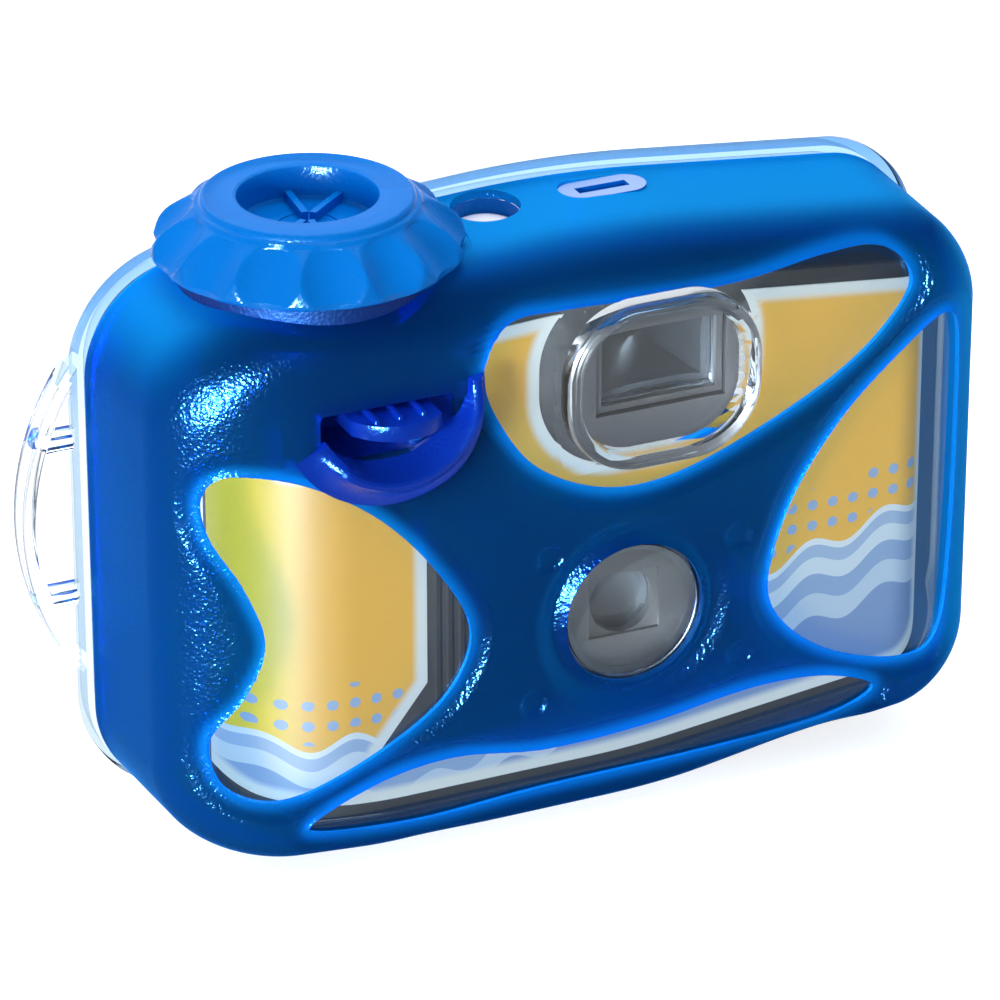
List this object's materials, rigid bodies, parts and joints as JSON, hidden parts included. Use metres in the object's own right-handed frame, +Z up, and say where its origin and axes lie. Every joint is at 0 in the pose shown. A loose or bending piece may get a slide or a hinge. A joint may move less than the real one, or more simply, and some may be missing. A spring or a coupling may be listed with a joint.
{
  "type": "waterproof single-use film camera",
  "caption": "Small film camera sealed in a clear waterproof case with a blue skin, shaped windows, a large winding knob, a shutter lever and a strap loop.",
  "frame": {"origin": "on the flat base, below the seam between the front and rear shells", "axes": "+Z up, -Y is the lens side, +X to the right seen from the lens side"},
  "size_m": [0.1284, 0.0449, 0.0868],
  "materials": {
    "clear_case": "polished clear polycarbonate",
    "magnifier": "polished clear plastic, silvery",
    "blue_skin": "frosted translucent",
    "blue_knob": "glossy with a fine pearl fleck",
    "black_plastic": "matte",
    "grey_plastic": "satin",
    "white_plastic": "satin",
    "paper_label": "gloss print",
    "seal_rubber": "matte",
    "spring_steel": "plain",
    "cassette_metal": "satin lacquer",
    "film_base": "satin"
  },
  "bodies": {
    "case": {"front_shell": "clear_case", "front_skin": "blue_skin", "rear_shell": "clear_case", "shell_gasket": "seal_rubber", "lens_window": "clear_case", "counter_lens": "magnifier", "lever_pin": "spring_steel", "plunger_spring": "spring_steel", "front_cover": "black_plastic", "main_frame": "black_plastic", "rear_cover": "black_plastic", "front_label": "paper_label", "finder_tube": "black_plastic", "finder_front_lens": "clear_case", "finder_rear_lens": "clear_case", "lens_bezel": "grey_plastic", "taking_lens": "clear_case", "lens_plate": "black_plastic", "light_chamber": "black_plastic", "shutter_spring": "spring_steel", "strike_spring": "spring_steel", "wind_pawl": "spring_steel", "cassette_can": "cassette_metal", "cassette_cap_top": "cassette_metal", "cassette_cap_bottom": "cassette_metal", "film_strip": "film_base"},
    "winder": {"advance_knob": "blue_knob", "knob_shaft": "blue_knob", "knob_seal": "seal_rubber", "knob_clip": "spring_steel", "winding_wheel": "black_plastic", "cassette_spool": "black_plastic"},
    "lever": {"shutter_lever": "blue_skin"},
    "plunger": {"release_plunger": "blue_knob", "plunger_seal": "seal_rubber"},
    "button": {"release_button": "black_plastic"},
    "blade": {"shutter_blade": "spring_steel"},
    "striker": {"strike_lever": "spring_steel"},
    "sprocket_drum": {"sprocket": "black_plastic", "charge_cam": "black_plastic"},
    "counter": {"counter_disc": "white_plastic"},
    "supply": {"film_roll": "film_base", "supply_spool": "black_plastic"}
  },
  "joints": [
    {"name": "knob_turn", "type": "hinge", "parent": "case", "child": "winder", "pos_m": [-0.0296, -0.008, 0.08], "axis": [0, 0, 1], "continuous": true},
    {"name": "sprocket_turn", "type": "hinge", "parent": "case", "child": "sprocket_drum", "pos_m": [-0.01, -0.0045, 0.0482], "axis": [0, 0, 1], "continuous": true},
    {"name": "counter_turn", "type": "hinge", "parent": "case", "child": "counter", "pos_m": [0.0029, -0.0051, 0.0692], "axis": [0, 0, 1], "continuous": true},
    {"name": "supply_turn", "type": "hinge", "parent": "case", "child": "supply", "pos_m": [0.0355, -0.0064, 0.0282], "axis": [0, 0, 1], "continuous": true},
    {"name": "lever_press", "type": "hinge", "parent": "case", "child": "lever", "pos_m": [-0.0264, -0.0186, 0.0626], "axis": [1, 0, 0], "range_deg": [0, 7], "stiffness_Nm_per_rad": 0.03, "springref_deg": -5.73},
    {"name": "plunger_slide", "type": "slide", "parent": "case", "child": "plunger", "axis": [0, 0, -1], "range_m": [0, 0.0007], "deforming": ["plunger_spring"]},
    {"name": "button_slide", "type": "slide", "parent": "case", "child": "button", "axis": [0, 0, -1], "range_m": [0, 0.0007]},
    {"name": "blade_swing", "type": "hinge", "parent": "case", "child": "blade", "pos_m": [0.0167, -0.0155, 0.0342], "axis": [0, 1, 0], "range_deg": [0, 28], "stiffness_Nm_per_rad": 0.0004, "springref_deg": -11.46},
    {"name": "strike_swing", "type": "hinge", "parent": "case", "child": "striker", "pos_m": [-0.0023, -0.0144, 0.0372], "axis": [0, 1, 0], "range_deg": [-25, 0], "stiffness_Nm_per_rad": 0.0008, "springref_deg": 11.46}
  ],
  "couplings": [
    {"joint": "sprocket_turn", "follows": "knob_turn", "ratio": 1.33},
    {"joint": "counter_turn", "follows": "knob_turn", "ratio": 0.0476},
    {"joint": "supply_turn", "follows": "knob_turn", "ratio": 0.9},
    {"joint": "plunger_slide", "follows": "lever_press", "m_per_rad": 0.0052},
    {"joint": "button_slide", "follows": "lever_press", "m_per_rad": 0.0052}
  ]
}
